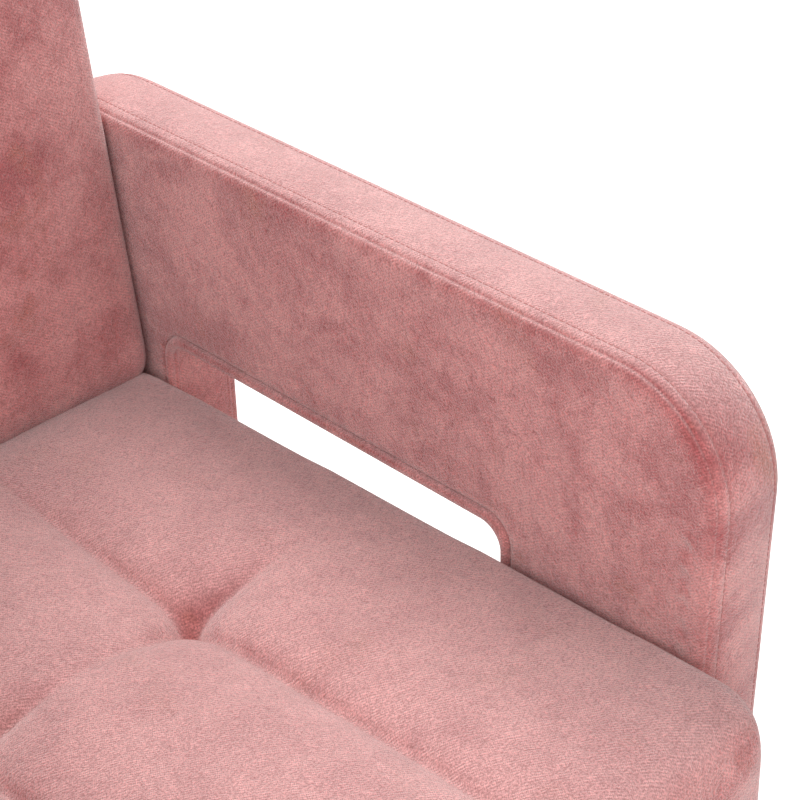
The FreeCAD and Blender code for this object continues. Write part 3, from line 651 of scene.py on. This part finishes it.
def arm_cover(side_name, side):
    vertices = []
    faces = []

    def add(points, new_faces, flip=False):
        start = len(vertices)
        vertices.extend(points)
        for face in new_faces:
            shifted = tuple(int(i) + start for i in face)
            faces.append(tuple(reversed(shifted)) if flip else shifted)

    section = across(PANEL_EDGE + BAND_EDGE + BAND_TOP)
    loops = []
    for x, inset in section:
        ring = arm_loop(inset * MM)
        loops.append([(arm_in + x * MM, y, z) for y, z in ring])
    add([p for ring in loops for p in ring], rings(loops))
    for face_x, way in ((arm_in, 1), (arm_out, -1)):
        points, triangles = panel(face_x, -way, 2 if way > 0 else 9)
        add([tuple(p) for p in points], triangles)
        edge_loops = []
        for x, inset in HOLE_EDGE:
            ring = slot_loop(inset * MM, SLOT_RADIUS - inset * MM, face_x - arm_in)
            edge_loops.append([(face_x + way * x * MM, y, z) for y, z in ring])
        add([p for ring in edge_loops for p in ring], rings(edge_loops))
    piece = add_piece(f"arm_cover_{side_name}", mirrored(vertices, side), faces, fabric)
    merge_doubles(piece, 0.02 * MM)
    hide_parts(f"arm_inner_pad_{side_name}", f"arm_outer_pad_{side_name}", f"arm_band_{side_name}")
    finish_soft(piece)
    lining = across(WELTS + TUNNEL)
    loops = []
    for x, inset, radius in lining:
        ring = slot_loop(inset * MM, radius * MM, x * MM)
        loops.append([(arm_in + x * MM, y, z) for y, z in ring])
    points = [p for ring in loops for p in ring]
    piece = add_piece(f"slot_lining_{side_name}", mirrored(points, side), rings(loops), fabric)
    merge_doubles(piece, 0.02 * MM)
    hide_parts(f"slot_facing_{side_name}")
    finish_soft(piece)
    stitched_lines(side_name, side)


def finish_soft(piece):
    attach(piece, "chair")


STITCH_LENGTH = 3.4 * MM
STITCH_GAP = 1.3 * MM
STITCH_RADIUS = 0.38 * MM
STITCH_SIDES = 6


def stitch_row(path, vertices, faces, closed=True):
    """Short thread lengths along a path, each dipping into the cloth at its ends."""
    path = np.array(path)
    if closed:
        path = np.vstack((path, path[:1]))
    steps = np.linalg.norm(np.diff(path, axis=0), axis=1)
    travel = np.concatenate(([0], np.cumsum(steps)))
    pitch = STITCH_LENGTH + STITCH_GAP
    for k in range(int(travel[-1] / pitch)):
        rows = []
        for j, share in enumerate((0.0, 0.25, 0.75, 1.0)):
            at = k * pitch + share * STITCH_LENGTH
            centre = np.array([np.interp(at, travel, path[:, c]) for c in range(3)])
            ahead = np.array([np.interp(at + 0.3 * MM, travel, path[:, c]) for c in range(3)]) - centre
            run = ahead / max(np.linalg.norm(ahead), 1e-9)
            side_way = np.cross(run, (1.0, 0.0, 0.0))
            side_way = side_way / max(np.linalg.norm(side_way), 1e-9)
            up = np.cross(run, side_way)
            radius = STITCH_RADIUS * (0.35 if j in (0, 3) else 1.0)
            ring = []
            for s in range(STITCH_SIDES):
                angle = 2 * math.pi * s / STITCH_SIDES
                ring.append(centre + radius * (math.cos(angle) * side_way + math.sin(angle) * up))
            rows.append(ring)
        start = len(vertices)
        for ring in rows:
            vertices.extend(ring)
        for face in rings(rows):
            faces.append(tuple(start + i for i in face))
        faces.append(tuple(start + i for i in reversed(range(STITCH_SIDES))))
        faces.append(tuple(start + 3 * STITCH_SIDES + i for i in range(STITCH_SIDES)))


def stitched_lines(side_name, side):
    """The topstitching on the arm's band, beside each of its two seams."""
    vertices = []
    faces = []
    for x in (STITCH_X * MM, arm_thickness - STITCH_X * MM):
        ring = arm_loop(0.35 * MM)
        stitch_row([(arm_in + x, y, z) for y, z in ring], vertices, faces)
    name = f"arm_topstitch_{side_name}"
    piece = add_piece(name, mirrored(vertices, side), oriented(faces, side), stitch_thread)
    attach(piece, "chair")


# ---- cushions -----------------------------------------------------------------------------
def rounded_block(name, low, high, radii, step):
    """Closed box with rounded edges. radii are for the x, y and z extents of the rounding."""
    low = np.array(low)
    high = np.array(high)
    counts = np.maximum(2, ((high - low) / step).astype(int))
    vertices = []
    faces = []
    for axis in range(3):
        u, v = [a for a in range(3) if a != axis]
        for level in (0, 1):
            start = len(vertices)
            for i in range(counts[u] + 1):
                for j in range(counts[v] + 1):
                    point = np.empty(3)
                    point[axis] = (low, high)[level][axis]
                    point[u] = low[u] + (high[u] - low[u]) * i / counts[u]
                    point[v] = low[v] + (high[v] - low[v]) * j / counts[v]
                    vertices.append(point)
            wide = counts[v] + 1
            for i in range(counts[u]):
                for j in range(counts[v]):
                    a = start + i * wide + j
                    faces.append((a, a + 1, a + wide + 1, a + wide))
    vertices = np.array(vertices)
    radii = np.array(radii)
    core = np.clip(vertices, low + radii, high - radii)
    offset = (vertices - core) / radii
    length = np.linalg.norm(offset, axis=1)
    biggest = np.abs(offset).max(1)
    scale = np.where(length > 0, biggest / np.maximum(length, 1e-12), 1)
    vertices = core + offset * scale[:, None] * radii
    piece = add_piece(name, vertices, faces, fabric)
    merge_doubles(piece, 0.1 * MM)
    return piece


def cusp(distance, width):
    """Depth of a sewn crease at a distance from its line: sharp at the bottom, rounded above."""
    return np.exp(-np.abs(distance) / width)


def seat_crease_depth(x, y):
    """How far the seat's top is pulled down at each point, in metres."""
    depth = np.zeros(len(x))
    ahead = pull_y - y                                   # positive towards the front
    length = pull_y - seat_lo.y
    rear_length = seat_hi.y - pull_y
    for side in (-1, 1):
        line = side * PULL_X
        off = x - line
        forward = smoothstep(-10 * MM, 25 * MM, ahead)
        fade_front = 1 - 0.45 * smoothstep(0.2 * length, 1.0 * length, ahead)
        fade_rear = 1 - smoothstep(0.1 * rear_length, 0.95 * rear_length, -ahead)
        run = np.where(ahead > 0, fade_front, fade_rear * 0.9)
        width = 19 * MM + 5 * MM * forward
        depth += (10 * cusp(off, width) + 7.5 * cusp(off, 4.5 * MM)) * MM * run
        reach = np.abs(off)
        fade_side = np.exp(-((reach / (54 * MM)) ** 2))
        bow = ahead - 6 * MM * smoothstep(0, 50 * MM, reach)
        depth += (9.5 * cusp(bow, 17 * MM) + 5.5 * cusp(bow, 4.5 * MM)) * MM * fade_side
        pit = np.sqrt(off ** 2 + ahead ** 2)
        depth += 9 * MM * np.exp(-pit / (15 * MM))
    return depth


SEAT_SWELL_CAP = 7 * MM
SEAT_NOSE = 42 * MM                  # rounding of the seat's front edge, front to back
SEAT_CORNER = 17 * MM                # extra rounding of its two front corners, seen from above


def seat_top(y):
    """Height of the seat's top edge beside the arms."""
    return SEAT_EDGE_AT_SLOT_REAR + (slot_hi.y - y) * SEAT_PITCH


def seat_cushion():
    low = (seat_lo.x, seat_lo.y, seat_lo.z)
    high = (seat_hi.x, seat_hi.y, seat_hi.z)
    piece = rounded_block("seat_cushion_cover", low, high, (12 * MM, SEAT_NOSE, 34 * MM), SIDE_STEP)
    points = points_of(piece)
    ahead = np.clip((seat_lo.y + SEAT_NOSE - points[:, 1]) / SEAT_NOSE, 0, 1)
    at_side = smoothstep(seat_hi.x - 90 * MM, seat_hi.x, np.abs(points[:, 0]))
    points[:, 0] -= np.sign(points[:, 0]) * SEAT_CORNER * (1 - np.sqrt(1 - ahead ** 2)) * at_side
    share = (points[:, 2] - seat_lo.z) / (seat_hi.z - seat_lo.z)
    points[:, 2] = seat_lo.z + share * (seat_top(points[:, 1]) - seat_lo.z)
    set_points(piece, points)
    remesh(piece, VOXEL)
    points = points_of(piece)
    x, y, z = points.T
    height = (z - seat_lo.z) / (seat_top(y) - seat_lo.z)
    upper = smoothstep(0.45, 0.95, height)
    from_side = seat_hi.x - np.abs(x)
    from_front = y - seat_lo.y
    from_rear = seat_hi.y - y
    crown = smoothstep(0, 150 * MM, from_side) * smoothstep(-20 * MM, 130 * MM, from_front)
    crown = crown * smoothstep(-60 * MM, 140 * MM, from_rear)
    wide_pull = seat_crease_depth(x, y)
    points[:, 2] += upper * (6 * MM * crown - 0.45 * wide_pull)
    set_points(piece, points)
    depth = seat_crease_depth(x, y)
    held = np.clip(depth / (16 * MM), 0, 1) * upper
    free = np.clip(1 - held, 0, 1) * smoothstep(0.0, 0.25, height)
    free = free * smoothstep(4 * MM, 30 * MM, from_side)
    inflate(piece, free, SEAT_SWELL_CAP, CUSHION_PRESSURE)
    relax(piece, 0.5, 3)
    subdivide(piece)
    points = points_of(piece)
    x, y, z = points.T
    height = (z - seat_lo.z) / (seat_top(y) - seat_lo.z)
    upper = smoothstep(0.45, 0.92, height)
    wave = ripple(points, 9.0, 3) * 1.4 * MM + ripple(points, 26.0, 8) * 0.5 * MM
    inner = smoothstep(6 * MM, 60 * MM, seat_hi.x - np.abs(x))
    points[:, 2] += upper * (inner * wave - 0.8 * seat_crease_depth(x, y))
    set_points(piece, points)
    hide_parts("seat_cushion")
    finish_soft(piece)


def lean_matrix():
    foot = Vector((0, slot_hi.y + BACK_FOOT_BEHIND_SLOT, back_foot_z))
    turn = Matrix.Rotation(-BACK_LEAN, 4, "X")
    return Matrix.Translation(foot) @ turn @ Matrix.Translation(-foot)


back_foot_z = 447.3 * MM
BACK_CUSHION = 90 * MM
BACK_SWELL_CAP = 9 * MM
BACK_PULL_H = 300 * MM
BACK_TUCK = 6 * MM                   # how far its foot sinks into the seat


def back_height():
    return (cad_box[1].z - back_foot_z + 3 * MM) / math.cos(BACK_LEAN)


def back_crease_depth(x, h):
    """The back has the same pulls as the seat, on the same two lines, half way up."""
    depth = np.zeros(len(x))
    top = back_height()
    for side in (-1, 1):
        off = x - side * PULL_X
        up = h - BACK_PULL_H
        fade = 1 - smoothstep(0.35 * top, 0.52 * top, np.abs(up))
        depth += (7.5 * cusp(off, 26 * MM) + 4.0 * cusp(off, 6 * MM)) * MM * fade
        reach = np.abs(off)
        fade_side = np.exp(-((reach / (46 * MM)) ** 2))
        depth += (6.5 * cusp(up, 20 * MM) + 3.5 * cusp(up, 5 * MM)) * MM * fade_side
        depth += 8 * MM * np.exp(-np.sqrt(off ** 2 + up ** 2) / (15 * MM))
    return depth


def back_cushion():
    half = seat_hi.x
    foot_y = slot_hi.y + BACK_FOOT_BEHIND_SLOT
    top = back_height()
    low = (-half, foot_y - BACK_PROUD, back_foot_z - BACK_TUCK)
    high = (half, foot_y + BACK_CUSHION, back_foot_z + top)
    piece = rounded_block("back_cushion_cover", low, high, (20 * MM, 20 * MM, 22 * MM), SIDE_STEP)
    remesh(piece, VOXEL)
    points = points_of(piece)
    x, y, z = points.T
    h = z - back_foot_z
    front = 1 - smoothstep(0.1, 0.6, (y - foot_y) / BACK_CUSHION)
    middle = smoothstep(0, 130 * MM, half - np.abs(x)) * smoothstep(0, 110 * MM, h)
    middle = middle * smoothstep(0, 120 * MM, top - h)
    depth = back_crease_depth(x, h)
    points[:, 1] += front * (0.45 * depth - 14 * MM * middle)
    set_points(piece, points)
    held = np.clip(depth / (16 * MM), 0, 1) * front
    rear = smoothstep(0.55, 0.9, (y - foot_y) / BACK_CUSHION)
    free = np.clip(1 - held, 0, 1) * (1 - rear) * smoothstep(4 * MM, 26 * MM, half - np.abs(x))
    inflate(piece, free, BACK_SWELL_CAP, CUSHION_PRESSURE)
    relax(piece, 0.5, 4)
    subdivide(piece)
    points = points_of(piece)
    x, y, z = points.T
    h = z - back_foot_z
    front = 1 - smoothstep(0.1, 0.6, (y - foot_y) / BACK_CUSHION)
    wave = ripple(points, 8.0, 13) * 1.2 * MM + ripple(points, 24.0, 17) * 0.4 * MM
    inner = smoothstep(8 * MM, 60 * MM, half - np.abs(x))
    points[:, 1] += front * (0.8 * back_crease_depth(x, h) + inner * wave)
    set_points(piece, points)
    piece.data.transform(lean_matrix())
    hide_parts("back_cushion")
    finish_soft(piece)


# ---- back shell ---------------------------------------------------------------------------
SHELL_FRONT = 84 * MM
SHELL_RADIUS = 34 * MM
SHELL_FOOT_RADIUS = 6 * MM


def shell_point(x, t, h):
    """A point t behind the back's front face and h up its slope; below the seat frame it drops straight."""
    foot_y = slot_hi.y + BACK_FOOT_BEHIND_SLOT
    z = back_foot_z + h * math.cos(BACK_LEAN) - t * math.sin(BACK_LEAN)
    y = foot_y + t * math.cos(BACK_LEAN) + h * math.sin(BACK_LEAN)
    if z < rail_top:
        y += (rail_top - z) * math.tan(BACK_LEAN)
    return (x, y, z)


def shell_cover():
    """Boxing round the sides and top of the back, and the padded panel behind it, in one cover."""
    half = seat_hi.x
    top = back_height() - 2 * MM
    reach = shell_hi.y - (slot_hi.y + BACK_FOOT_BEHIND_SLOT)
    depth = (reach - top * math.sin(BACK_LEAN)) / math.cos(BACK_LEAN)
    bottom = -(back_foot_z - shell_lo.z) / math.cos(BACK_LEAN) + depth * math.tan(BACK_LEAN)
    outline = [
        (-half, bottom, SHELL_FOOT_RADIUS),
        (half, bottom, SHELL_FOOT_RADIUS),
        (half, top, SHELL_RADIUS),
        (-half, top, SHELL_RADIUS),
    ]
    lines = (60, 96, 60, 96)
    section = [
        (SHELL_FRONT, 12), (SHELL_FRONT, 4), (SHELL_FRONT + 1 * MM, 1.2), (SHELL_FRONT + 4 * MM, 0.2),
        (SHELL_FRONT + 14 * MM, -0.8), (depth - 24 * MM, -0.8),
        (depth - 14 * MM, -0.2), (depth - 12.6 * MM, 0.5),
        (depth - 11.4 * MM, 0.1), (depth - 8 * MM, 0.6), (depth - 5 * MM, 1.8), (depth - 3.6 * MM, 3.2),
        (depth - 3.9 * MM, 4.0), (depth - 2.6 * MM, 4.8), (depth - 1.2 * MM, 7.0), (depth - 0.4 * MM, 10.0),
        (depth, 16.0),
    ]
    loops = []
    for t, inset in section:
        ring = loop(inset_polygon(outline, inset * MM), lines)
        loops.append([shell_point(x, t, h) for x, h in ring])
    vertices = [p for ring in loops for p in ring]
    faces = rings(loops)
    outer = loop(inset_polygon(outline, section[-1][1] * MM), lines)
    flat, triangles = fill(outer, None, 9 * MM)
    swell = smoothstep(0, 60 * MM, distance_to(flat, outer))
    raw = [(x, depth, h) for x, h in flat]
    uneven = ripple(raw, 9.0, 21) * 0.8 * MM
    start = len(vertices)
    vertices += [shell_point(x, depth + s * (2.5 * MM + u), h) for (x, h), s, u in zip(flat, swell, uneven)]
    faces += [tuple(int(i) + start for i in face) for face in triangles]
    piece = add_piece("back_shell_cover", vertices, faces, fabric)
    merge_doubles(piece, 0.05 * MM)
    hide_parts("back_band", "outer_back")
    finish_soft(piece)


# ---- front border -------------------------------------------------------------------------
BORDER_CORNER = 6 * MM
BORDER_PAD = 13 * MM
BORDER_SWELL = 2.0 * MM
BORDER_EDGE = 4 * MM                 # rounding of its top and bottom edges


def border_profile(height):
    """Section of the border: outward swell and height, closed behind."""
    rows = [(-BORDER_PAD, 0.0), (-BORDER_EDGE, 0.0)]
    for k in range(6):
        angle = -math.pi / 2 + math.pi / 2 * k / 5
        rows.append((BORDER_EDGE * (math.cos(angle) - 1), BORDER_EDGE * (1 + math.sin(angle))))
    for k in range(1, 12):
        share = k / 12
        rows.append((BORDER_SWELL * math.sin(math.pi * share) ** 0.7, height * share))
    for k in range(6):
        angle = math.pi / 2 * k / 5
        rows.append((BORDER_EDGE * (math.cos(angle) - 1), height - BORDER_EDGE * (1 - math.sin(angle))))
    rows.append((-BORDER_PAD, height))
    return rows


def border_cover():
    """Padded strip under the cushion's front, wrapped round the seat box's two corners."""
    deck_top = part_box("seat_deck")[1].z
    left, right = border_lo.x + BORDER_SWELL, border_hi.x - BORDER_SWELL
    front, rear = border_lo.y, border_hi.y
    steps = 70
    path = [(left, rear, -1, 0), (left, (front + rear) / 2, -1, 0)]
    for start, centre_x in ((math.pi, left + BORDER_CORNER), (1.5 * math.pi, right - BORDER_CORNER)):
        for k in range(ARC_POINTS + 1):
            angle = start + math.pi / 2 * k / ARC_POINTS
            way = (math.cos(angle), math.sin(angle))
            path.append((centre_x + BORDER_CORNER * way[0], front + BORDER_CORNER * (1 + way[1]), *way))
        if centre_x < 0:
            run = right - left - 2 * BORDER_CORNER
            path += [(centre_x + run * k / steps, front, 0, -1) for k in range(1, steps)]
    path += [(right, (front + rear) / 2, 1, 0), (right, rear, 1, 0)]
    vertices = []
    for x, y, nx, ny in path:
        before_deck = float(smoothstep(0.3, 0.9, -ny))
        height = border_hi.z - border_lo.z + (deck_top - border_hi.z) * before_deck
        for out, up in border_profile(height):
            vertices.append((x + nx * out, y + ny * out, border_lo.z + up))
    wide = len(border_profile(1.0))
    faces = []
    for i in range(len(path) - 1):
        for j in range(wide):
            k = (j + 1) % wide
            faces.append((i * wide + j, (i + 1) * wide + j, (i + 1) * wide + k, i * wide + k))
    last = (len(path) - 1) * wide
    faces.append(tuple(range(wide)))
    faces.append(tuple(last + j for j in reversed(range(wide))))
    piece = add_piece("front_border_cover", vertices, faces, fabric)
    merge_doubles(piece, 0.01 * MM)
    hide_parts("front_border")
    finish_soft(piece)


# ---- studio -------------------------------------------------------------------------------
FLOOR_HALF = 40.0
SKY_STRENGTH = 0.95


def studio():
    scene = bpy.context.scene
    floor_graph = Graph("studio_floor")
    place = floor_graph.coordinates()
    faint = floor_graph.noise(place, 3.0, 2.0)
    tone = floor_graph.mix(faint, rgb(0.93, 0.93, 0.93), rgb(0.96, 0.96, 0.955))
    floor_graph.set(Base_Color=tone, Roughness=0.9)
    size = FLOOR_HALF
    corners = [(-size, -size, 0), (size, -size, 0), (size, size, 0), (-size, size, 0)]
    floor = add_piece("studio_floor", corners, [(0, 1, 2, 3)], floor_graph.material, smooth=False)
    world = bpy.data.worlds.new("studio")
    scene.world = world
    world.use_nodes = True
    world.node_tree.nodes["Background"].inputs[0].default_value = rgb(1.0, 1.0, 1.0)
    world.node_tree.nodes["Background"].inputs[1].default_value = SKY_STRENGTH
    scene.view_settings.view_transform = "Standard"
    lamp("key", (1.3, 1.2, 2.6), 1.6, 86, (1.0, 0.985, 0.97))
    lamp("fill", (-2.2, -1.6, 2.2), 2.6, 34, (1.0, 0.99, 0.985))


def lamp(name, place, size, power, colour):
    light = bpy.data.lights.new(name, "AREA")
    light.shape = "DISK"
    light.size = size
    light.energy = power
    light.color = colour
    holder = bpy.data.objects.new(name, light)
    bpy.context.scene.collection.objects.link(holder)
    holder.location = place
    aim = Vector((0, 0, 0.5)) - Vector(place)
    holder.rotation_euler = aim.to_track_quat("-Z", "Y").to_euler()


CAMERA_AZIMUTH = math.radians(43.556)
CAMERA_ELEVATION = math.radians(33.476)
CAMERA_ROLL = math.radians(1.765)
CAMERA_LENS = 103.46
CAMERA_FROM_SLOT = Vector((-841.4, -1128.0, 867.9)) * MM     # from the slot's rear edge
SLOT_SIGHT_DROP = 13 * MM                                    # that mark lies below the slot's seam


def camera():
    mark = Vector((arm_in, slot_hi.y, slot_hi.z - SLOT_SIGHT_DROP))
    a, e, roll = CAMERA_AZIMUTH, CAMERA_ELEVATION, CAMERA_ROLL
    ahead = Vector((math.sin(a) * math.cos(e), math.cos(a) * math.cos(e), -math.sin(e)))
    right = Vector((math.cos(a), -math.sin(a), 0))
    down = ahead.cross(right)
    turned_right = right * math.cos(roll) + down * math.sin(roll)
    turned_down = down * math.cos(roll) - right * math.sin(roll)
    data = bpy.data.cameras.new("camera")
    data.sensor_width = 36
    data.lens = CAMERA_LENS
    data.clip_start = 0.05
    holder = bpy.data.objects.new("camera", data)
    bpy.context.scene.collection.objects.link(holder)
    axes = Matrix((turned_right, -turned_down, -ahead)).transposed()
    holder.matrix_world = Matrix.Translation(mark + CAMERA_FROM_SLOT) @ axes.to_4x4()
    bpy.context.scene.camera = holder


camera()
studio()
paint_cad_nodes()
for arm_name, arm_side in (("left", 1), ("right", -1)):
    arm_cover(arm_name, arm_side)
seat_cushion()
back_cushion()
shell_cover()
border_cover()
